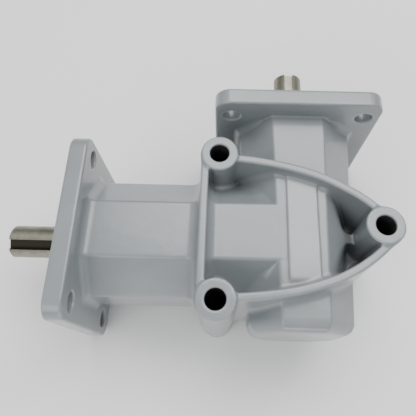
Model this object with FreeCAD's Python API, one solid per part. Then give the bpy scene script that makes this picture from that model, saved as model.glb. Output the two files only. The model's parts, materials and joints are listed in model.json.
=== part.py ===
import FreeCAD, Part
import math
import os

os.makedirs("parts", exist_ok=True)
V = FreeCAD.Vector

# Right angle bevel gearbox, all sizes in millimetres.
# The model is laid out about the crossing point of the two shaft axes: the input shaft
# runs along -X, the output shaft along +Y, and +Z is the side that the bosses face.
# Every piece is moved by ORIGIN at the end, so that the frame's origin is the centre of
# the output flange's mounting face.

# ---- driving dimensions -------------------------------------------------------------
SHAFT_D = 19.0          # keyed ends
SEAL_D = 25.0           # shaft under the 6205 bearings and the seals
LOW_D = 20.0            # shaft under the 6204 bearing and the gears
CROSS_D = 22.0          # output shaft where it passes the input gear
SHOULDER_D = 30.0
KEY_W, KEY_DEPTH, KEY_RUN = 6.0, 3.5, 33.5
KEY_TILT_IN = 27.0      # the input keyway, turned from +Z towards -Y

FLANGE = 100.0          # square, both ends
FLANGE_T = 10.0
FLANGE_R = 9.5
FLANGE_HOLE_D = 10.5
FLANGE_PITCH = 80.0     # across, in the plane of the shafts
FLANGE_PITCH_Z = 70.0
IN_FACE = -130.0        # input flange's outer face, along X
OUT_FACE = 82.0         # output flange's outer face, along Y
IN_TIP = -171.5
OUT_TIP = 123.5

BARREL_H = 34.0         # half height of both octagons
BARREL_E = 15.5         # half width of the flat facets
BARREL_W_TOP = 35.0     # output barrel's half width at the flange
BARREL_W_LOW = 28.0     # the same at the blind end
BARREL_E_LOW = 12.3
BARREL_H_TOP = 36.5     # output barrel's half height at the flange: its front and back are drafted
BARREL_H_LOW = 33.0
BLIND = -51.5           # blind end of the output barrel
BLIND_R = 7.0

BOSS_R = 10.5
BOSS_BORE_D = 11.0
BOSS_TOP = 44.5
BOSS_BOTTOM = -50.0
BOSSES = [(-46.5, 42.0), (42.5, 2.0), (-46.5, -38.0)]
RIB_T = 5.0
RIB_H = 43.3            # half height of the rib frame
WEB_H = 2.5             # half height of the web at the parting plane
# where the output barrel's slanted facet turns down into the hollow round the right boss: (Y, X)
CREST = [(-30.0, 15.0), (-14.0, 20.0), (0.6, 27.2), (13.5, 21.8), (31.0, 16.5)]
CREST_FOOT = 27.8       # the wall's foot on the parting plane, at the blind end

BORE_R = 26.0           # 52 mm seats
LOW_BORE_R = 23.5       # 47 mm seat at the blind end
GEAR_BORE_R = 24.8      # the way through for the input gear

Z_TEETH, MODULE, FACE_W = 18, 2.5, 10.0
BACKLASH = 0.07         # taken off each flank at the pitch line
GEAR_BACK = 32.0        # hub's back face, from the crossing point
GEAR_FRONT = 17.0

B205 = dict(d=25.0, D=52.0, B=15.0, pitch=19.25, ball=3.94, n=9, ri=15.6, ro=22.7)
B204 = dict(d=20.0, D=47.0, B=14.0, pitch=16.75, ball=3.94, n=8, ri=13.1, ro=20.3)
GROOVE_R = 4.03
IN_REAR = -32.0         # the end nearer the gears, of each bearing
IN_FRONT = -102.0
OUT_LOW = -32.0
LOW_FLOOR = -47.0       # floor of the blind end's seat
OUT_UP = 52.0

ORIGIN = V(0.0, -OUT_FACE, 0.0)

# ---- helpers ------------------------------------------------------------------------


def poly(points):
    return Part.Face(Part.Wire(Part.makePolygon([V(*p) for p in points] + [V(*points[0])])))


def revolve(profile, axis):
    """A closed (along, radius) profile turned about the +X or +Y axis."""
    if axis == "x":
        f = poly([(a, r, 0) for a, r in profile])
        return f.revolve(V(0, 0, 0), V(1, 0, 0), 360)
    f = poly([(r, a, 0) for a, r in profile])
    return f.revolve(V(0, 0, 0), V(0, 1, 0), 360)


def ring(a0, a1, r0, r1, axis):
    return revolve([(a0, r0), (a1, r0), (a1, r1), (a0, r1)], axis)


def cyl(r, p, d, h):
    return Part.makeCylinder(r, h, V(*p), V(*d))


def at(a, r, t, axis):
    """A point at distance a along the axis, radius r, angle t (degrees)."""
    c, s = r * math.cos(math.radians(t)), r * math.sin(math.radians(t))
    return V(a, c, s) if axis == "x" else V(s, a, c)


def fuse(shapes):
    out = shapes[0]
    if len(shapes) > 1:
        out = out.multiFuse(shapes[1:])
    return out.removeSplitter()


def octagon(w, e, h, a, axis):
    k = h - (w - e)
    pts = [(e, h), (w, k), (w, -k), (e, -h), (-e, -h), (-w, -k), (-w, k), (-e, h)]
    if axis == "x":
        return Part.makePolygon([V(a, u, v) for u, v in pts + pts[:1]])
    return Part.makePolygon([V(u, a, v) for u, v in pts + pts[:1]])


def plate(a0, a1, axis):
    """Square flange with rounded corners."""
    s = FLANGE / 2.0
    b = Part.makeBox(a1 - a0, FLANGE, FLANGE, V(a0, -s, -s))
    edges = [e for e in b.Edges if abs(e.Vertexes[0].Y - e.Vertexes[1].Y) < 1e-6
             and abs(e.Vertexes[0].Z - e.Vertexes[1].Z) < 1e-6]
    b = b.makeFillet(FLANGE_R, edges)
    if axis == "y":
        b.rotate(V(0, 0, 0), V(0, 0, 1), 90)
    return b


def path_wall(points, t, h):
    """A wall of thickness t along a smooth centre line through the points, from -h to h."""
    curve = Part.BSplineCurve()
    curve.interpolate([V(x, y, 0) for x, y in points])
    n = 28
    left, right = [], []
    for i in range(n + 1):
        u = curve.FirstParameter + (curve.LastParameter - curve.FirstParameter) * i / n
        p, d = curve.value(u), curve.tangent(u)[0]
        nx, ny = -d.y, d.x
        left.append((p.x + nx * t / 2, p.y + ny * t / 2, -h))
        right.append((p.x - nx * t / 2, p.y - ny * t / 2, -h))
    return poly(left + right[::-1]).extrude(V(0, 0, 2 * h))


# ---- housing ------------------------------------------------------------------------
# Die casting: two octagonal barrels, two flanges, three bosses and the rib frame.
# centre lines of the two curved ribs, from the left bosses to the right one
TOP_RIB = [(-44.0, 40.4), (-28.0, 38.9), (-12.0, 36.2), (2.0, 32.6), (13.0, 28.6), (24.0, 22.9), (33.0, 17.2), (42.0, 9.6)]
LOW_RIB = [(-44.0, -37.2), (-25.0, -35.8), (-5.0, -32.7), (13.0, -27.3), (24.0, -22.2), (32.0, -17.2), (39.0, -11.8), (46.5, -4.8)]

barrel_in = Part.makeLoft([octagon(BARREL_H, BARREL_E, BARREL_H, IN_FACE + 5, "x"),
                           octagon(BARREL_H, BARREL_E, BARREL_H, 0, "x")], True, True)


def out_section(y):
    f = (y - BLIND) / (OUT_FACE - 5 - BLIND)
    w = BARREL_W_LOW + (BARREL_W_TOP - BARREL_W_LOW) * f
    h = BARREL_H_LOW + (BARREL_H_TOP - BARREL_H_LOW) * f
    return octagon(w, BARREL_E_LOW + (BARREL_E - BARREL_E_LOW) * f, h, y, "y")


barrel_out = Part.makeLoft([out_section(OUT_FACE - 5), out_section(BLIND)], True, True)
rim = [e for e in barrel_out.Edges
       if all(abs(v.Y - BLIND) < 1e-6 for v in e.Vertexes)]
barrel_out = barrel_out.makeChamfer(BLIND_R * 0.7, rim)

outline = [(BOSSES[0][0] - BOSS_R + 1, BOSSES[0][1])] + TOP_RIB + [BOSSES[1]] + LOW_RIB[::-1] + [(BOSSES[0][0] - BOSS_R + 1, BOSSES[2][1])]


def hollow(side):
    """What the hollow round the right boss takes from the output barrel, on one side of the parting plane."""
    wires = []
    for y, x in CREST:
        f = (y - BLIND) / (OUT_FACE - 5 - BLIND)
        e = BARREL_E_LOW + (BARREL_E - BARREL_E_LOW) * f
        z = BARREL_H_LOW + (BARREL_H_TOP - BARREL_H_LOW) * f - (x - e)
        foot = CREST_FOOT + 7.0 * f
        foot -= (foot - x) * 1.0 / z
        pts = [(x, z), (foot, 1.0), (60.0, 1.0), (60.0, z + 8.0), (x + 8.0, z + 8.0)]
        pts = [V(u, y, side * v) for u, v in pts]
        wires.append(Part.makePolygon(pts + pts[:1]))
    prism = poly([(x, y, -60.0) for x, y in outline]).extrude(V(0, 0, 120.0))
    return Part.makeLoft(wires, True, True).common(prism)


for side in (1, -1):
    barrel_out = barrel_out.cut(hollow(side))

flange_in = plate(IN_FACE, IN_FACE + FLANGE_T, "x")
flange_out = plate(OUT_FACE - FLANGE_T, OUT_FACE, "y")
bosses = [cyl(BOSS_R, (x, y, BOSS_BOTTOM), (0, 0, 1), BOSS_TOP - BOSS_BOTTOM) for x, y in BOSSES]
left_x = BOSSES[0][0] - BOSS_R
ribs = [Part.makeBox(RIB_T, BOSSES[0][1] - BOSSES[2][1], 2 * RIB_H, V(left_x, BOSSES[2][1], -RIB_H)),
        path_wall(TOP_RIB, RIB_T, RIB_H), path_wall(LOW_RIB, RIB_T, RIB_H)]
web = poly([(x, y, -WEB_H) for x, y in outline]).extrude(V(0, 0, 2 * WEB_H))
casting = fuse([barrel_in, barrel_out, flange_in, flange_out, web] + bosses + ribs)

cuts = [
    cyl(BORE_R, (IN_FACE - 1, 0, 0), (1, 0, 0), -31.0 - IN_FACE + 1),
    cyl(GEAR_BORE_R, (-31.5, 0, 0), (1, 0, 0), 31.5),
    cyl(BORE_R, (0, -31.0, 0), (0, 1, 0), OUT_FACE + 1 + 31.0),
    cyl(LOW_BORE_R, (0, LOW_FLOOR, 0), (0, 1, 0), 17.0),
    # circlip grooves
    cyl(27.1, (-119.25, 0, 0), (1, 0, 0), 2.1),
    cyl(27.1, (-49.15, 0, 0), (1, 0, 0), 2.1),
    cyl(27.1, (0, 67.05, 0), (0, 1, 0), 2.1),
    # lead-in chamfers at the two mouths
    Part.makeCone(BORE_R + 1.2, BORE_R, 1.2, V(IN_FACE, 0, 0), V(1, 0, 0)),
    Part.makeCone(BORE_R + 1.2, BORE_R, 1.2, V(0, OUT_FACE, 0), V(0, -1, 0)),
]
for u in (-FLANGE_PITCH / 2, FLANGE_PITCH / 2):
    for v in (-FLANGE_PITCH_Z / 2, FLANGE_PITCH_Z / 2):
        cuts.append(cyl(FLANGE_HOLE_D / 2, (IN_FACE - 1, u, v), (1, 0, 0), FLANGE_T + 2))
        cuts.append(cyl(FLANGE_HOLE_D / 2, (u, OUT_FACE + 1, v), (0, -1, 0), FLANGE_T + 2))
for x, y in BOSSES:
    cuts.append(cyl(BOSS_BORE_D / 2, (x, y, BOSS_BOTTOM - 1), (0, 0, 1), BOSS_TOP - BOSS_BOTTOM + 2))
housing = casting
for c in cuts:
    housing = housing.cut(c)
housing = housing.Solids[0]

# ---- bevel gears --------------------------------------------------------------------
DELTA = math.radians(45.0)
PITCH_R = Z_TEETH * MODULE / 2
CONE = PITCH_R / math.sin(DELTA)
ALPHA = math.radians(20.0)


def star(ax0, phase):
    """Tooth outline where the cone of teeth crosses the plane at ax0 from the apex."""
    rv = PITCH_R / math.cos(DELTA)
    rb = rv * math.cos(ALPHA)
    zv = Z_TEETH / math.cos(DELTA)
    half = math.pi / (2 * zv) - BACKLASH / rv

    def inv(r):
        a = math.acos(min(1.0, rb / r))
        return math.tan(a) - a
    inv0 = inv(rv)
    tip, root = rv + MODULE, rv - 1.2 * MODULE
    radii = [max(root, rb) + (tip - max(root, rb)) * i / 4.0 for i in range(5)]
    flank = [(root, half + inv0)] if root < rb else []
    flank += [(r, half + inv0 - inv(r)) for r in radii]
    tooth = [(r, -t) for r, t in flank] + [(r, t) for r, t in reversed(flank)]
    pts = []
    apex_back = PITCH_R + rv * math.sin(DELTA)
    for k in range(Z_TEETH):
        for r, t in tooth:
            phi = t / math.cos(DELTA) + 2 * math.pi * k / Z_TEETH + phase
            rad = r * math.cos(DELTA)
            along = apex_back - r * math.sin(DELTA)
            s = rad * ax0 / along
            pts.append(V(s * math.cos(phi), s * math.sin(phi), ax0))
    return Part.makePolygon(pts + pts[:1])


def gear(phase, key_dir):
    """Mitre gear with its apex at the origin and its axis along +Z, back face at GEAR_BACK."""
    body = Part.makeLoft([star(12.0, phase), star(33.0, phase)], True, True)
    c = math.sqrt(0.5)
    ra = CONE - FACE_W
    tip_b, tip_a = MODULE, MODULE * ra / CONE
    prof = [(GEAR_FRONT, LOW_D / 2), (GEAR_FRONT, GEAR_FRONT * 0.80),
            (ra * c + 1.6, ra * c - 1.6), (ra * c - tip_a * c, ra * c + tip_a * c),
            (CONE * c - tip_b * c, CONE * c + tip_b * c), (27.3, 2 * CONE * c - 27.3),
            (27.3, 15.0), (GEAR_BACK, 15.0), (GEAR_BACK, LOW_D / 2)]
    f = poly([(r, 0, a) for a, r in prof])
    blank = f.revolve(V(0, 0, 0), V(0, 0, 1), 360)
    g = body.common(blank)
    # keyway through the bore
    kw = Part.makeBox(KEY_W, LOW_D / 2 + 2.8, 40, V(-KEY_W / 2, 0, 0))
    kw.rotate(V(0, 0, 0), V(0, 0, 1), key_dir)
    g = g.cut(kw)
    return g.Solids[0]


def gear_key(key_dir, length=12.0, start=18.5):
    k = Part.makeBox(KEY_W, 6.0, length, V(-KEY_W / 2, LOW_D / 2 - 3.5, start))
    k = k.makeChamfer(0.3, [e for e in k.Edges if abs(e.Length - length) < 1e-6])
    k.rotate(V(0, 0, 0), V(0, 0, 1), key_dir)
    return k


def to_x(s):
    """Turn +Z into -X, with +Y staying +Y."""
    s = s.copy()
    s.rotate(V(0, 0, 0), V(0, 1, 0), -90)
    return s


def to_y(s):
    """Turn +Z into -Y, with +X staying +X."""
    s = s.copy()
    s.rotate(V(0, 0, 0), V(1, 0, 0), 90)
    return s


# The input gear has a tooth in the direction of -Y and the output gear a gap towards -X.
phase_in = -math.pi / 2
phase_out = math.pi + math.pi / Z_TEETH
input_gear = to_x(gear(phase_in, 0.0))
output_gear = to_y(gear(phase_out, 0.0))
input_key = to_x(gear_key(0.0))
output_key = to_y(gear_key(0.0))

# ---- shafts -------------------------------------------------------------------------


def keyed_end(shaft, tip, axis, turn):
    """Open keyway that runs out at the tip, with a milled round at its inner end."""
    inner = tip - math.copysign(KEY_RUN, tip)
    lo, hi = min(inner, tip) - (2 if tip < 0 else 0), max(inner, tip) + (2 if tip > 0 else 0)
    z0 = SHAFT_D / 2 - KEY_DEPTH
    if axis == "x":
        cut = Part.makeBox(hi - lo, KEY_W, 10, V(lo, -KEY_W / 2, z0))
        end = Part.makeCylinder(KEY_W / 2, 10, V(inner, 0, z0), V(0, 0, 1))
        cut = cut.fuse(end)
        cut.rotate(V(0, 0, 0), V(1, 0, 0), turn)
    else:
        cut = Part.makeBox(KEY_W, hi - lo, 10, V(-KEY_W / 2, lo, z0))
        end = Part.makeCylinder(KEY_W / 2, 10, V(0, inner, z0), V(0, 0, 1))
        cut = cut.fuse(end)
        cut.rotate(V(0, 0, 0), V(0, 1, 0), turn)
    return shaft.cut(cut)


r19, r25, r20, r22, r30 = SHAFT_D / 2, SEAL_D / 2, LOW_D / 2, CROSS_D / 2, SHOULDER_D / 2
# input shaft: keyed end, 25 mm length in the bearings, 20 mm gear seat
input_shaft = revolve([(IN_TIP, 0), (IN_TIP, r19 - 1.2), (IN_TIP + 1.2, r19), (IN_TIP + KEY_RUN, r19), (-131.0, r19), (-130.6, r25 - 0.6),
                       (-130.0, r25), (-GEAR_BACK, r25), (-GEAR_BACK, r20), (-17.05, r20), (-17.05, 9.5),
                       (-15.75, 9.5), (-15.75, r20), (-14.4, r20), (-13.6, r20 - 0.8), (-13.6, 0)], "x")
# the seam of each turned face is put inside its keyway
input_shaft.rotate(V(0, 0, 0), V(1, 0, 0), 90.0 + KEY_TILT_IN)
input_shaft = keyed_end(input_shaft, IN_TIP, "x", KEY_TILT_IN)
input_shaft = input_shaft.cut(Part.makeCone(3.0, 0.6, 4.2, V(IN_TIP, 0, 0), V(1, 0, 0)))
input_shaft = input_shaft.cut(input_key)
# output shaft: blind-end seat, gear seat, crossing, shoulder, 25 mm length, keyed end
output_shaft = revolve([(-46.0, 0), (-46.0, r20 - 0.8), (-45.2, r20), (-15.0, r20), (-15.0, r22), (44.0, r22),
                        (44.0, r30 - 1.0), (45.0, r30), (OUT_UP, r30), (OUT_UP, r25), (82.0, r25), (82.6, r25 - 0.6),
                        (83.0, r19), (OUT_TIP - KEY_RUN, r19), (OUT_TIP - 1.2, r19), (OUT_TIP, r19 - 1.2), (OUT_TIP, 0)], "y")
output_shaft.rotate(V(0, 0, 0), V(0, 1, 0), -90.0)
output_shaft = keyed_end(output_shaft, OUT_TIP, "y", 0.0)
output_shaft = output_shaft.cut(Part.makeCone(3.0, 0.6, 4.2, V(0, OUT_TIP, 0), V(0, -1, 0)))
output_shaft = output_shaft.cut(output_key)

# ---- bearings -----------------------------------------------------------------------


def torus(a, R, r, axis):
    d = V(1, 0, 0) if axis == "x" else V(0, 1, 0)
    c = V(a, 0, 0) if axis == "x" else V(0, a, 0)
    return Part.makeTorus(R, r, c, d)


def bearing(spec, a0, a1, axis):
    """Outer ring, inner ring, balls and cage between the faces a0 and a1."""
    lo, hi = min(a0, a1), max(a0, a1)
    mid = (lo + hi) / 2
    c = 0.8

    def chamfered(rin, rout, inner):
        if inner:
            return [(lo, rin + c), (lo + c, rin), (hi - c, rin), (hi, rin + c), (hi, rout), (lo, rout)]
        return [(lo, rin), (hi, rin), (hi, rout - c), (hi - c, rout), (lo + c, rout), (lo, rout - c)]
    groove = torus(mid, spec["pitch"], GROOVE_R, axis)
    outer = revolve(chamfered(spec["ro"], spec["D"] / 2, False), axis).cut(groove)
    inner = revolve(chamfered(spec["d"] / 2, spec["ri"], True), axis).cut(groove)
    balls, pockets = [], []
    for k in range(spec["n"]):
        p = at(mid, spec["pitch"], 360.0 * k / spec["n"] + 90, axis)
        balls.append(Part.makeSphere(spec["ball"], p))
        out = at(0, 1.0, 360.0 * k / spec["n"] + 90, axis)
        pockets.append(Part.makeCylinder(spec["ball"] + 0.12, 8.0, p - out * 4.0, out))
    cage = ring(mid - 4.6, mid + 4.6, spec["pitch"] - 1.25, spec["pitch"] + 1.25, axis)
    for s in pockets:
        cage = cage.cut(s)
    return outer, inner, Part.makeCompound(balls), cage


B = {
    "input_front": bearing(B205, IN_FRONT, IN_FRONT - 15, "x"),
    "input_rear": bearing(B205, IN_REAR, IN_REAR - 15, "x"),
    "output_lower": bearing(B204, OUT_LOW, OUT_LOW - 14, "y"),
    "output_upper": bearing(B205, OUT_UP, OUT_UP + 15, "y"),
}

# ---- rings, seals and shims -----------------------------------------------------------


def internal_circlip(a0, axis):
    """Retaining ring for the 52 mm bores, with lugs and plier holes at its gap."""
    r = ring(a0, a0 + 2.0, 23.6, 27.0, axis)
    gap_c = at(a0 - 1, 0, 0, axis)
    wedge = [at(a0 - 1, 0, 0, axis), at(a0 - 1, 40, 82, axis), at(a0 - 1, 40, 98, axis)]
    d = V(4, 0, 0) if axis == "x" else V(0, 4, 0)
    cut = Part.Face(Part.makePolygon(wedge + [gap_c])).extrude(d)
    r = r.cut(cut)
    u = V(1, 0, 0) if axis == "x" else V(0, 1, 0)
    lugs = [Part.makeCylinder(2.9, 2.0, at(a0, 22.6, t, axis), u) for t in (73.5, 106.5)]
    holes = [Part.makeCylinder(1.25, 4.0, at(a0 - 1, 22.3, t, axis), u) for t in (73.5, 106.5)]
    r = r.fuse(lugs[0]).fuse(lugs[1]).removeSplitter()
    for h in holes:
        r = r.cut(h)
    return r.Solids[0]


circ_in_front = internal_circlip(-119.2, "x")
circ_in_rear = internal_circlip(-49.1, "x")
circ_out = internal_circlip(67.1, "y")

# external ring that keeps the input gear on its seat
gear_circlip = ring(-16.95, -15.8, 9.5, 12.4, "x").cut(
    Part.makeBox(4, 5.5, 20, V(-18.5, -2.75, -20)))
for s in (-1, 1):
    gear_circlip = gear_circlip.fuse(Part.makeCylinder(2.1, 1.15, V(-16.95, s * 4.6, -11.3), V(1, 0, 0)))
for s in (-1, 1):
    gear_circlip = gear_circlip.cut(Part.makeCylinder(0.9, 4, V(-18.5, s * 4.8, -11.5), V(1, 0, 0)))
gear_circlip = gear_circlip.removeSplitter().Solids[0]


def seal(face, inward, axis):
    """Lip seal 25 x 52 x 7 and its garter spring; face is its outer end."""
    def a(t):
        return face + inward * t
    body = revolve([(a(0), 26.0), (a(0), 17.5), (a(0.4), 16.0), (a(0.4), 12.56), (a(1.4), 13.6), (a(2.2), 13.6),
                    (a(3.6), 12.53), (a(4.0), 12.53), (a(5.6), 13.5), (a(6.6), 13.6), (a(6.6), 16.8),
                    (a(3.0), 17.6), (a(2.0), 18.6), (a(2.0), 24.8), (a(7.0), 24.8), (a(7.0), 26.0)], axis)
    groove = torus(a(5.0), 16.0, 0.95, axis)
    return body.cut(groove), torus(a(5.0), 16.0, 0.85, axis)


in_seal, in_spring = seal(-128.3, 1.0, "x")
out_seal, out_spring = seal(80.3, -1.0, "y")

in_shim = ring(-32.0, -31.0, 24.85, 25.95, "x")
out_shim = ring(-47.0, -46.0, 19.0, 23.45, "y")
spacer = revolve([(-102.0, 12.5), (-47.0, 12.5), (-47.0, 14.6), (-47.6, 15.2), (-101.4, 15.2), (-102.0, 14.6)], "x")

# ---- write every piece ----------------------------------------------------------------
nodes = {
    "housing": housing,
    "input_shaft": input_shaft,
    "input_bevel_gear": input_gear,
    "input_gear_key": input_key,
    "input_gear_circlip": gear_circlip,
    "input_spacer_sleeve": spacer,
    "input_shim": in_shim,
    "input_front_circlip": circ_in_front,
    "input_rear_circlip": circ_in_rear,
    "input_oil_seal": in_seal,
    "input_seal_spring": in_spring,
    "output_shaft": output_shaft,
    "output_bevel_gear": output_gear,
    "output_gear_key": output_key,
    "output_shim": out_shim,
    "output_circlip": circ_out,
    "output_oil_seal": out_seal,
    "output_seal_spring": out_spring,
}
for name, (o, i, b, c) in B.items():
    nodes[name + "_outer_ring"] = o
    nodes[name + "_inner_ring"] = i
    nodes[name + "_balls"] = b
    nodes[name + "_cage"] = c

for name, shape in nodes.items():
    s = shape.copy()
    s.translate(ORIGIN)
    s.exportStep("parts/" + name + ".step")
    print(name, len(s.Solids), "solids", round(s.Volume, 1), "mm3", "valid" if s.isValid() else "INVALID")
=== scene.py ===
import json
import math
import bpy
import numpy as np
import openvdb
from mathutils import Matrix, Vector


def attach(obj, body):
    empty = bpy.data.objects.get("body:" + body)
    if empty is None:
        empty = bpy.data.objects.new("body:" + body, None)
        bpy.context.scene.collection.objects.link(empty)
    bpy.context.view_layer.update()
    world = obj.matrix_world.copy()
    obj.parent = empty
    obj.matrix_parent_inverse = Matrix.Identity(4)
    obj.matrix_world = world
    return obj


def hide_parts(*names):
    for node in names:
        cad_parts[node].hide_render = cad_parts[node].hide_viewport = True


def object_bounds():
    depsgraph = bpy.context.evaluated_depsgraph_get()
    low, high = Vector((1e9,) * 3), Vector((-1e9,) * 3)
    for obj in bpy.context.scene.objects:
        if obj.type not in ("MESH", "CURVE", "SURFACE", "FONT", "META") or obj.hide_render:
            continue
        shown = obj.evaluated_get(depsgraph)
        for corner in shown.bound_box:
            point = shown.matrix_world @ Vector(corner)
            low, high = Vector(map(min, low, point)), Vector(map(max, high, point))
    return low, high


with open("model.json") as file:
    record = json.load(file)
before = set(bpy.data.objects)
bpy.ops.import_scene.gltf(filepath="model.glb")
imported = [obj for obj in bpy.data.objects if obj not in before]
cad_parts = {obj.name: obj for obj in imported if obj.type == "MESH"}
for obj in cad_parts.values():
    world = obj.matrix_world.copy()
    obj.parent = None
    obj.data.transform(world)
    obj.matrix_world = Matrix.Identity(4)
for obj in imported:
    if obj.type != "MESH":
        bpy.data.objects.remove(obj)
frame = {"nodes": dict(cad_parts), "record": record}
CAD_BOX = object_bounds()
nodes = frame["nodes"]
scene = bpy.context.scene

# Lengths in the housing's maths are millimetres about the crossing point of the two
# shaft axes; the frame's origin is 82 mm along +Y from there.
MM = 0.001
OFF = np.array([0.0, -82.0, 0.0])

# ------------------------------------------------------------------ camera
cam_data = bpy.data.cameras.new("camera")
cam = bpy.data.objects.new("camera", cam_data)
scene.collection.objects.link(cam)
rot = Vector((0.43752, 0.00402, 0.02519))
R = Matrix.Rotation(rot.length, 4, rot.normalized())
cam.matrix_world = Matrix.Translation(Vector((-0.04305, -0.15555, 0.27732))) @ R
cam_data.sensor_fit = "HORIZONTAL"
cam_data.sensor_width = 36.0
cam_data.lens = 460.65 * 36.0 / 416.0
cam_data.shift_x = (208.0 - 221.20) / 416.0
cam_data.shift_y = (163.47 - 208.0) / 416.0
cam_data.clip_start = 0.01
cam_data.clip_end = 10.0
scene.camera = cam

# ------------------------------------------------------------------ housing as one cast surface
BOSSES = [(-46.5, 42.0), (42.5, 2.0), (-46.5, -38.0)]
TOP_RIB = [(-44.0, 40.4), (-28.0, 38.9), (-12.0, 36.2), (2.0, 32.6), (13.0, 28.6), (24.0, 22.9), (33.0, 17.2), (42.0, 9.6)]
LOW_RIB = [(-44.0, -37.2), (-25.0, -35.8), (-5.0, -32.7), (13.0, -27.3), (24.0, -22.2), (32.0, -17.2), (39.0, -11.8), (46.5, -4.8)]
LEFT_RIB = [(-54.5, 42.0), (-54.5, -38.0)]
# where the output barrel's slanted facet turns down into the hollow round the right boss: (Y, X)
CREST = [(-30.0, 15.0), (-20.4, 17.0), (-14.0, 20.0), (-7.6, 23.2), (-3.0, 26.0), (0.6, 27.2), (3.0, 26.4),
         (6.6, 24.3), (13.5, 21.8), (21.0, 20.2), (26.6, 18.0), (31.0, 16.5)]
F = np.float32


def spline(points, n=5):
    """Catmull-Rom samples through the points."""
    p = np.array(points, float)
    if len(p) < 3:
        return p
    q = np.vstack([2 * p[0] - p[1], p, 2 * p[-1] - p[-2]])
    out = []
    for i in range(1, len(q) - 2):
        for t in np.arange(n) / n:
            a, b, c, d = q[i - 1], q[i], q[i + 1], q[i + 2]
            out.append(0.5 * (2 * b + (c - a) * t + (2 * a - 5 * b + 4 * c - d) * t * t + (3 * b - a - 3 * c + d) * t**3))
    out.append(p[-1])
    return np.array(out)


def path_distance(x, y, pts):
    best = np.full(x.shape, 1e9, F)
    for (ax, ay), (bx, by) in zip(pts[:-1], pts[1:]):
        dx, dy = bx - ax, by - ay
        t = np.clip(((x - ax) * dx + (y - ay) * dy) / (dx * dx + dy * dy), 0, 1)
        best = np.minimum(best, (x - ax - t * dx) ** 2 + (y - ay - t * dy) ** 2)
    return np.sqrt(best)


def join(a, b, r):
    """Union with a round fillet of radius r in the inner corner."""
    u, v = np.maximum(r - a, 0), np.maximum(r - b, 0)
    return np.maximum(r, np.minimum(a, b)) - np.sqrt(u * u + v * v)


def meet(a, b, r):
    """Intersection with the outer edge rounded to radius r."""
    u, v = np.maximum(r + a, 0), np.maximum(r + b, 0)
    return np.minimum(-r, np.maximum(a, b)) + np.sqrt(u * u + v * v)


def cut(a, b, r):
    return meet(a, -b, r)


def segment(px, pz, ax, az, bx, bz):
    dx, dz = bx - ax, bz - az
    t = np.clip(((px - ax) * dx + (pz - az) * dz) / (dx * dx + dz * dz), 0, 1)
    return (px - ax - t * dx) ** 2 + (pz - az - t * dz) ** 2


def octagon(u, v, w, e, h, r):
    """Rounded octagon, half width w along u, half height h along v, flat half width e."""
    u, v = np.abs(u), np.abs(v)
    w, h = w - r, h - r
    e = e - r * 0.414
    k = h - (w - e)
    d2 = segment(u, v, -99.0, h, e, h)
    d2 = np.minimum(d2, segment(u, v, e, h, w, k))
    d2 = np.minimum(d2, segment(u, v, w, k, w, -99.0))
    side = np.maximum(np.maximum(v - h, u - w), ((u - e) + (v - h)) * 0.70711)
    return np.where(side > 0, np.sqrt(d2), -np.sqrt(d2)) - r


def rounded_square(u, v, s, r):
    qu, qv = np.abs(u) - s + r, np.abs(v) - s + r
    return np.minimum(np.maximum(qu, qv), 0) + np.sqrt(np.maximum(qu, 0) ** 2 + np.maximum(qv, 0) ** 2) - r


TOP_PTS, LOW_PTS = spline(TOP_RIB), spline(LOW_RIB)
WEB = np.array([(-56.0, 42.0)] + TOP_RIB + [BOSSES[1]] + LOW_RIB[::-1] + [(-56.0, -38.0)])


def polygon(x, y, pts):
    """Signed distance to a closed polygon."""
    d = np.full(x.shape, 1e9, F)
    s = np.ones(x.shape, F)
    n = len(pts)
    for i in range(n):
        ax, ay = pts[i]
        bx, by = pts[i - 1]
        ex, ey = bx - ax, by - ay
        wx, wy = x - ax, y - ay
        t = np.clip((wx * ex + wy * ey) / (ex * ex + ey * ey), 0, 1)
        d = np.minimum(d, (wx - ex * t) ** 2 + (wy - ey * t) ** 2)
        c1, c2, c3 = y >= ay, y < by, ex * wy > ey * wx
        flip = (c1 & c2 & c3) | (~c1 & ~c2 & ~c3)
        s = np.where(flip, -s, s)
    return s * np.sqrt(d)


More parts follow.
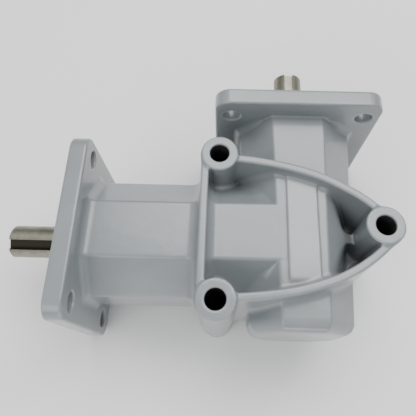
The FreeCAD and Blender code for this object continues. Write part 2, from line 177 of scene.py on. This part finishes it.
def casting(P):
    x, y, z = P[:, 0].astype(F), P[:, 1].astype(F), P[:, 2].astype(F)
    az = np.abs(z)
    # barrels; the output one is drafted on its sides and on its front and back
    f = (y + 51.5) / 128.5
    b = octagon(x, z, 28.0 + 7.0 * f, 12.3 + 3.2 * f, 33.0 + 3.5 * f, 2.4) * F(0.997)
    b = meet(b, -(y + 51.5), 7.0)
    b = np.maximum(b, y - 77.0)
    # blank raised panel on the output barrel's front
    pad = rounded_square((x - 0.3) / 8.4, (y - 4.0) / 30.0, 1.0, 0.12) * 8.4
    pad = meet(pad, np.abs(z - (33.45 + 3.5 * f)) - 0.6, 0.5)
    pad = np.where(z > 0, pad, F(9.0))
    b = join(b, pad, 0.9)
    # steep wall from the crest down to the parting plane, inside the rib frame only
    cy, cx = np.array(CREST, F).T
    xc = np.interp(y, cy, cx).astype(F)
    zc = 33.0 + 3.5 * f - (xc - 12.3 - 3.2 * f)
    xf = 27.8 + 7.0 * f
    wall_ = ((x - xc) * zc + (az - zc) * (xf - xc)) / np.sqrt(zc * zc + (xf - xc) ** 2)
    inside = np.maximum(polygon(x, y, WEB), 11.0 - x)
    b = meet(b, -np.maximum(-wall_, inside), 1.6)
    t = np.clip((x + 50.0) / 34.0, 0, 1)
    t = t * t * (3 - 2 * t)
    ha = 34.0 + t * (0.38 + 0.0272 * np.clip(y, -16, 16))
    a = octagon(y, z, 34.0, 15.5, ha, 2.4)
    a = np.maximum(a, np.maximum(-(x + 125.0), x - 4.0))
    # The sides of both barrels run into each other in soft valleys, and their fronts are flush.
    d = join(a, b, 0.12 + 3.2 * np.clip((33.2 - az) / 6.0, 0, 1))
    # the narrow gap between the input barrel and the top rib is cast solid
    gap = np.maximum(np.maximum(np.abs(x + 31.0) - 16.0, np.abs(y - 34.0) - 4.5), az - 13.5)
    d = join(d, gap, 3.0)
    # the crest's tip runs on into the right boss
    tip = np.maximum(np.maximum(np.abs(y - 1.6) - 2.6, np.abs(x - 32.0) - 7.0), az - (19.5 - 0.5 * (x - 27.0)))
    d = join(d, tip, 3.0)
    # rib frame: walls drafted from the parting plane
    half = 2.2 + (43.3 - az) * 0.020
    top = 43.3
    d_left = path_distance(x, y, LEFT_RIB)
    d_top = path_distance(x, y, TOP_PTS)
    d_low = path_distance(x, y, LOW_PTS)
    # boss columns
    col = None
    for cx, cy in BOSSES:
        c = np.sqrt((x - cx) ** 2 + (y - cy) ** 2) - 10.5
        c = meet(meet(c, z - 44.5, 0.9), -(z + 50.0), 0.9)
        col = c if col is None else np.minimum(col, c)
    wall = join(d_top - half, d_left - half, 3.0)
    wall = join(wall, d_low - half, 3.0)
    wall = meet(wall, az - top, 1.1)
    web = meet(polygon(x, y, WEB), az - 2.5, 0.6)
    frame_ = join(col, wall, 1.6)
    frame_ = join(frame_, web, 3.0)
    # The root fillets are large at the left rib and tighten towards the right boss.
    root = 3.4 + 2.6 * np.clip((-x - 34.0) / 16.0, 0, 1) - 1.5 * np.clip((x - 16.0) / 12.0, 0, 1)
    root = root * (1 - 0.85 * np.clip((y - 39.5) / 3.0, 0, 1) * (np.abs(x + 34.0) < 9.0))
    d = join(d, frame_, root)
    # flanges
    fa = meet(rounded_square(y, z, 50.0, 9.5), np.abs(x + 125.0) - 5.0, 1.2)
    fb = meet(rounded_square(x, z, 50.0, 9.5), np.abs(y - 77.0) - 5.0, 1.2)
    d = join(d, fa, 4.5)
    # the output flange's root is tight on the front facet and full at the sides
    lean = np.clip((az - 22.0) / 9.0, 0, 1) * np.clip((27.0 - np.abs(x)) / 6.0, 0, 1)
    d = join(d, fb, 4.2 - 2.9 * lean)
    # holes
    for cx, cy in BOSSES:
        rr = np.sqrt((x - cx) ** 2 + (y - cy) ** 2)
        d = cut(d, rr - 5.5, 0.7)
    for u in (-40.0, 40.0):
        for v in (-35.0, 35.0):
            ha = np.maximum(np.sqrt((y - u) ** 2 + (z - v) ** 2) - 5.25, np.abs(x + 125.0) - 9.0)
            hb = np.maximum(np.sqrt((x - u) ** 2 + (z - v) ** 2) - 5.25, np.abs(y - 77.0) - 9.0)
            d = cut(d, np.minimum(ha, hb), 0.6)
    # machined bores for bearings, seals and gears
    ra = np.sqrt(y * y + z * z)
    rb = np.sqrt(x * x + z * z)
    bore_a = np.minimum(np.maximum(ra - 26.0, x + 31.0), np.maximum(ra - 24.8, x))
    bore_b = np.minimum(np.maximum(rb - 26.0, -31.0 - y), np.maximum(rb - 23.5, -47.0 - y))
    groove = np.minimum(np.minimum(np.maximum(ra - 27.1, np.abs(x + 118.2) - 1.05), np.maximum(ra - 27.1, np.abs(x + 48.1) - 1.05)),
                        np.maximum(rb - 27.1, np.abs(y - 68.1) - 1.05))
    d = cut(d, np.minimum(bore_a, bore_b), 0.8)
    d = np.maximum(d, -groove)
    return d


def bore_shade_mask(P):
    """1 on walls that get near-black painted shade: the boss bores below their mouths, and the bearing bores."""
    out = np.zeros(len(P))
    for cx, cy in BOSSES:
        r = np.hypot(P[:, 0] - cx, P[:, 1] - cy)
        deep = np.minimum(44.5 - P[:, 2], P[:, 2] + 50.0)
        out = np.maximum(out, np.clip((6.1 - r) / 0.3, 0, 1) * np.clip((deep - 0.9) / 1.2, 0, 1))
    ra, rb = np.hypot(P[:, 1], P[:, 2]), np.hypot(P[:, 0], P[:, 2])
    out = np.maximum(out, ((ra < 27.4) & (P[:, 0] < 0) & (P[:, 0] > -129.4)) | ((rb < 27.4) & (P[:, 1] > -48) & (P[:, 1] < 81.4)))
    return out


def cast_mesh(name, field, lo, hi, h, steps=2):
    """A quad mesh of field = 0: a narrow band of fine samples, then the points drawn onto the surface."""
    lo, hi = np.array(lo, float), np.array(hi, float)
    n = np.ceil((hi - lo) / h).astype(int) + 1
    m = 6
    nb = np.ceil(n / m).astype(int)
    shape = nb * m
    ax = [lo[i] + h * np.arange(shape[i]) for i in range(3)]
    bc = [lo[i] + h * (m * np.arange(nb[i]) + (m - 1) / 2.0) for i in range(3)]
    C = np.stack(np.meshgrid(*bc, indexing="ij"), -1).reshape(-1, 3)
    dc = field(C)
    reach = h * m * 0.87 + 2.2 * h
    near = np.abs(dc) < reach * 1.25
    grid = np.repeat(np.repeat(np.repeat(np.clip(dc, -3, 3).reshape(nb).astype(F), m, 0), m, 1), m, 2)
    idx = np.argwhere(near.reshape(nb))
    loc = np.stack(np.meshgrid(*[np.arange(m)] * 3, indexing="ij"), -1).reshape(-1, 3)
    for i in range(0, len(idx), 4000):
        blk = idx[i:i + 4000]
        cell = (blk[:, None, :] * m + loc[None]).reshape(-1, 3)
        val = field(lo + h * cell)
        grid[cell[:, 0], cell[:, 1], cell[:, 2]] = val
    g = openvdb.FloatGrid(background=3.0)
    g.copyFromArray(np.ascontiguousarray(grid.astype(F)))
    pts, quads = g.convertToQuads(isovalue=0.0)
    P = lo + h * np.asarray(pts, float)
    e = 0.02

    def gradient(Q):
        out = np.zeros_like(Q)
        for k in range(3):
            q1, q2 = Q.copy(), Q.copy()
            q1[:, k] += e
            q2[:, k] -= e
            out[:, k] = (field(q1).astype(float) - field(q2)) / (2 * e)
        return out
    for _ in range(steps):
        v = field(P).astype(float)
        G = gradient(P)
        g2 = np.maximum((G * G).sum(1), 0.25)
        step = -(v / g2)[:, None] * G
        ln = np.sqrt((step * step).sum(1))
        step *= (np.minimum(ln, 0.5 * h) / np.maximum(ln, 1e-9))[:, None]
        P = P + step
    me = bpy.data.meshes.new(name)
    Q = np.asarray(quads, np.int32)[:, ::-1]
    W = (P + OFF) * MM
    me.vertices.add(len(W))
    me.vertices.foreach_set("co", W.astype(F).ravel())
    me.loops.add(Q.size)
    me.loops.foreach_set("vertex_index", Q.ravel())
    me.polygons.add(len(Q))
    me.polygons.foreach_set("loop_start", np.arange(0, Q.size, 4, dtype=np.int32))
    me.polygons.foreach_set("loop_total", np.full(len(Q), 4, np.int32))
    me.update(calc_edges=True)
    me.validate()
    me.polygons.foreach_set("use_smooth", np.ones(len(me.polygons), bool))
    me.update()
    G = gradient(P)
    N = G / np.maximum(np.sqrt((G * G).sum(1)), 1e-6)[:, None]
    # Masks for the paint: edge marks convex edges (painted highlight, and wear where scuffed), nook marks recesses
    # (painted shade and rougher paint), bore marks bore walls (near-black painted shade).
    marks = {"edge": np.clip((field(P - 1.3 * N).astype(float) + 1.3) / 0.55, 0, 1),
             "nook": np.clip((2.4 - field(P + 2.4 * N).astype(float)) / 1.6, 0, 1),
             "bore": bore_shade_mask(P)}
    for k, v in marks.items():
        at = me.attributes.new(k, "FLOAT", "POINT")
        at.data.foreach_set("value", np.ascontiguousarray(v, F))
    ob = bpy.data.objects.new(name, me)
    scene.collection.objects.link(ob)
    print("housing mesh", len(W), "points", len(Q), "quads")
    return ob


STEP = 0.6
body = cast_mesh("housing_casting", casting, (-133, -56.5, -53), (56, 85.5, 53), STEP)
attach(body, "housing")
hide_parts("housing")

# ------------------------------------------------------------------ materials


def material(name):
    m = bpy.data.materials.new(name)
    m.use_nodes = True
    nt = m.node_tree
    return m, nt, nt.nodes["Principled BSDF"]


def tex_coord(nt):
    return nt.nodes.new("ShaderNodeTexCoord").outputs["Object"]


def noise(nt, vec, scale, detail=3.0, rough=0.5):
    n = nt.nodes.new("ShaderNodeTexNoise")
    n.inputs["Scale"].default_value = scale
    n.inputs["Detail"].default_value = detail
    n.inputs["Roughness"].default_value = rough
    nt.links.new(vec, n.inputs["Vector"])
    return n.outputs["Fac"]


def ramp(nt, fac, stops):
    r = nt.nodes.new("ShaderNodeValToRGB")
    el = r.color_ramp.elements
    el[0].position, el[0].color = stops[0][0], (*stops[0][1], 1)
    el[1].position, el[1].color = stops[-1][0], (*stops[-1][1], 1)
    for p, c in stops[1:-1]:
        e = el.new(p)
        e.color = (*c, 1)
    nt.links.new(fac, r.inputs["Fac"])
    return r.outputs["Color"]


def bump(nt, height, strength, distance, normal=None):
    b = nt.nodes.new("ShaderNodeBump")
    b.inputs["Strength"].default_value = strength
    b.inputs["Distance"].default_value = distance
    nt.links.new(height, b.inputs["Height"])
    if normal is not None:
        nt.links.new(normal, b.inputs["Normal"])
    return b.outputs["Normal"]


def attribute(nt, name):
    n = nt.nodes.new("ShaderNodeAttribute")
    n.attribute_type = "GEOMETRY"
    n.attribute_name = name
    return n.outputs["Fac"]


def mix(nt, fac, a, b, kind="RGBA"):
    m = nt.nodes.new("ShaderNodeMix")
    m.data_type = kind
    i = {"RGBA": (6, 7, 2), "FLOAT": (2, 3, 0)}[kind]
    nt.links.new(fac, m.inputs[0])
    for k, v in ((i[0], a), (i[1], b)):
        if isinstance(v, bpy.types.NodeSocket):
            nt.links.new(v, m.inputs[k])
        else:
            m.inputs[k].default_value = (*v, 1) if kind == "RGBA" else v
    return m.outputs[i[2]]


def times(nt, a, b):
    m = nt.nodes.new("ShaderNodeMath")
    m.operation = "MULTIPLY"
    for k, v in ((0, a), (1, b)):
        if isinstance(v, bpy.types.NodeSocket):
            nt.links.new(v, m.inputs[k])
        else:
            m.inputs[k].default_value = v
    return m.outputs[0]


def paint():
    """Gloss grey paint on a casting: painted highlight lightens the edges, painted shade darkens the nooks and
    turns the bores near black; scuffs wear the edges.
    """
    m, nt, p = material("housing_paint")
    v = tex_coord(nt)
    base = ramp(nt, noise(nt, v, 26.0, 5.0, 0.6), [(0.3, (0.194, 0.217, 0.228)), (0.7, (0.236, 0.258, 0.267))])
    # Painted highlight: convex edges are lightened.
    base = mix(nt, times(nt, attribute(nt, "edge"), 0.45), base, (0.42, 0.435, 0.44))
    # Painted shade: recesses are darkened.
    base = mix(nt, times(nt, attribute(nt, "nook"), 0.38), base, (0.115, 0.12, 0.12))
    scuff = ramp(nt, noise(nt, v, 420.0, 6.0, 0.75), [(0.63, (0, 0, 0)), (0.70, (1, 1, 1))])
    worn = times(nt, times(nt, scuff, attribute(nt, "edge")), 0.55)
    base = mix(nt, worn, base, (0.20, 0.20, 0.195))
    # Painted shade: the bore walls are coloured near black.
    bore = attribute(nt, "bore")
    base = mix(nt, bore, base, ramp(nt, noise(nt, v, 700.0, 3.0), [(0.3, (0.020, 0.020, 0.020)), (0.7, (0.055, 0.055, 0.052))]))
    nt.links.new(base, p.inputs["Base Color"])
    rough = mix(nt, noise(nt, v, 60.0, 4.0, 0.6), 0.26, 0.40, "FLOAT")
    rough = mix(nt, times(nt, attribute(nt, "nook"), 0.6), rough, 0.55, "FLOAT")
    rough = mix(nt, bore, rough, 0.46, "FLOAT")
    nt.links.new(rough, p.inputs["Roughness"])
    p.inputs["Specular IOR Level"].default_value = 0.5
    p.inputs["Coat Weight"].default_value = 0.55
    p.inputs["Coat Roughness"].default_value = 0.16
    n1 = bump(nt, noise(nt, v, 1100.0, 2.0), 0.05, 0.00012)
    n2 = bump(nt, noise(nt, v, 150.0, 2.0), 0.13, 0.0007, n1)
    nt.links.new(n2, p.inputs["Normal"])
    nt.links.new(n2, p.inputs["Coat Normal"])
    return m


def steel(name, lo, hi, rough, axis="y", lines=2600.0, dark=None):
    """Turned steel with fine rings across the axis; dark = (centre, radius) colours what lies inside that radius
    near black as painted shade, and makes it rougher.
    """
    m, nt, p = material(name)
    v = tex_coord(nt)
    mp = nt.nodes.new("ShaderNodeMapping")
    s = {"x": (lines, 90.0, 90.0), "y": (90.0, lines, 90.0), "z": (90.0, 90.0, lines)}[axis]
    mp.inputs["Scale"].default_value = s
    nt.links.new(v, mp.inputs["Vector"])
    f = noise(nt, mp.outputs["Vector"], 1.0, 2.0)
    col = ramp(nt, f, [(0.3, lo), (0.7, hi)])
    stain = ramp(nt, noise(nt, v, 95.0, 4.0, 0.65), [(0.42, (1, 1, 1)), (0.66, (0.62, 0.60, 0.55))])
    tint = nt.nodes.new("ShaderNodeMix")
    tint.data_type, tint.blend_type = "RGBA", "MULTIPLY"
    tint.inputs[0].default_value = 0.7
    nt.links.new(col, tint.inputs[6])
    nt.links.new(stain, tint.inputs[7])
    col = tint.outputs[2]
    rr = nt.nodes.new("ShaderNodeMapRange")
    rr.inputs["To Min"].default_value = rough - 0.06
    rr.inputs["To Max"].default_value = rough + 0.08
    nt.links.new(noise(nt, v, 160.0, 3.0), rr.inputs["Value"])
    rgh = rr.outputs["Result"]
    # Painted shade: inside the radius (the keyway) the colour goes near black and the roughness up, standing in
    # for the shade in the slot.
    if dark:
        flat = nt.nodes.new("ShaderNodeVectorMath")
        flat.operation = "SUBTRACT"
        nt.links.new(v, flat.inputs[0])
        flat.inputs[1].default_value = dark[0]
        keep = nt.nodes.new("ShaderNodeVectorMath")
        keep.operation = "MULTIPLY"
        nt.links.new(flat.outputs[0], keep.inputs[0])
        keep.inputs[1].default_value = {"x": (0, 1, 1), "y": (1, 0, 1)}[axis]
        ln = nt.nodes.new("ShaderNodeVectorMath")
        ln.operation = "LENGTH"
        nt.links.new(keep.outputs[0], ln.inputs[0])
        dk = nt.nodes.new("ShaderNodeMapRange")
        dk.inputs["From Min"].default_value = dark[1] - 0.0003
        dk.inputs["From Max"].default_value = dark[1]
        dk.inputs["To Min"].default_value = 1.0
        dk.inputs["To Max"].default_value = 0.0
        nt.links.new(ln.outputs["Value"], dk.inputs["Value"])
        col = mix(nt, dk.outputs["Result"], col, (0.035, 0.032, 0.024))
        rgh = mix(nt, dk.outputs["Result"], rgh, 0.55, "FLOAT")
    nt.links.new(col, p.inputs["Base Color"])
    nt.links.new(rgh, p.inputs["Roughness"])
    p.inputs["Metallic"].default_value = 1.0
    nt.links.new(bump(nt, f, 0.12, 0.0001), p.inputs["Normal"])
    return m


def rubber():
    m, nt, p = material("seal_rubber")
    v = tex_coord(nt)
    nt.links.new(ramp(nt, noise(nt, v, 120.0), [(0.3, (0.012, 0.012, 0.013)), (0.7, (0.028, 0.028, 0.03))]), p.inputs["Base Color"])
    p.inputs["Roughness"].default_value = 0.5
    nt.links.new(bump(nt, noise(nt, v, 1400.0, 2.0), 0.2, 0.0001), p.inputs["Normal"])
    return m


MATS = {
    "housing_paint": paint(),
    # the input shaft's keyway, inside radius 9.35 mm about its axis, gets painted shade
    "shaft_in": steel("shaft_steel_in", (0.24, 0.232, 0.190), (0.33, 0.320, 0.265), 0.36, "x", 5200.0, ((0.0, -0.082, 0.0), 0.00935)),
    "shaft_out": steel("shaft_steel_out", (0.24, 0.232, 0.190), (0.33, 0.320, 0.265), 0.40, "y", 5200.0),
    "gear_steel": steel("gear_steel", (0.24, 0.24, 0.245), (0.36, 0.36, 0.36), 0.38, "z", 900.0),
    "key_steel": steel("key_steel", (0.36, 0.36, 0.35), (0.50, 0.50, 0.49), 0.32, "z", 1200.0),
    "spring_steel": steel("spring_steel", (0.05, 0.05, 0.055), (0.10, 0.10, 0.10), 0.42, "z", 900.0),
    "bearing_steel": steel("bearing_steel", (0.56, 0.56, 0.56), (0.66, 0.66, 0.66), 0.18, "z", 3000.0),
    "cage_steel": steel("cage_steel", (0.42, 0.40, 0.36), (0.52, 0.50, 0.46), 0.36, "z", 1200.0),
    "seal_rubber": rubber(),
}
body.data.materials.append(MATS["housing_paint"])
slots = {s["node"]: s["material_slot"] for s in frame["record"]["subparts"]}
for n, o in nodes.items():
    key = slots[n]
    if key == "shaft_steel":
        key = "shaft_in" if n.startswith("input") else "shaft_out"
    o.data.materials.clear()
    o.data.materials.append(MATS[key])

# ------------------------------------------------------------------ floor and light
floor_me = bpy.data.meshes.new("floor")
z0 = CAD_BOX[0][2] - 0.0002
floor_me.from_pydata([(-7, -7, z0), (7, -7, z0), (7, 7, z0), (-7, 7, z0)], [], [(0, 1, 2, 3)])
floor = bpy.data.objects.new("floor", floor_me)
scene.collection.objects.link(floor)
m, nt, p = material("floor")
nt.links.new(ramp(nt, noise(nt, tex_coord(nt), 2.0), [(0.3, (0.93, 0.93, 0.93)), (0.7, (0.95, 0.95, 0.95))]), p.inputs["Base Color"])
p.inputs["Roughness"].default_value = 0.9
floor_me.materials.append(m)

world = bpy.data.worlds.new("studio")
scene.world = world
world.use_nodes = True
wt = world.node_tree
bg = wt.nodes["Background"]
sep = wt.nodes.new("ShaderNodeSeparateXYZ")
wt.links.new(wt.nodes.new("ShaderNodeTexCoord").outputs["Generated"], sep.inputs[0])
# a dim room with a bright ceiling
wt.links.new(ramp(wt, sep.outputs["Z"], [(0.0, (0.50, 0.50, 0.505)), (0.22, (0.34, 0.34, 0.345)), (0.60, (0.75, 0.75, 0.75)), (1.0, (1.0, 1.0, 1.0))]), bg.inputs["Color"])
bg.inputs["Strength"].default_value = 0.90


def area(name, loc, target, size, power, color=(1, 1, 1)):
    l = bpy.data.lights.new(name, "AREA")
    l.shape = "RECTANGLE"
    l.size, l.size_y = size
    l.energy = power
    l.color = color
    o = bpy.data.objects.new(name, l)
    o.location = loc
    o.rotation_euler = (Vector(target) - Vector(loc)).to_track_quat("-Z", "Y").to_euler()
    scene.collection.objects.link(o)
    return o


mid = (-0.04, -0.06, 0.0)
area("key", (0.12, 0.33, 0.93), mid, (0.9, 0.6), 9.6)
area("fill", (-0.50, -0.75, 0.55), mid, (0.8, 0.5), 3.4)
area("low", (-0.03, -0.95, 0.04), mid, (0.5, 0.10), 1.2)
area("glint", (0.45, 0.30, 0.55), mid, (0.05, 0.05), 0.35)
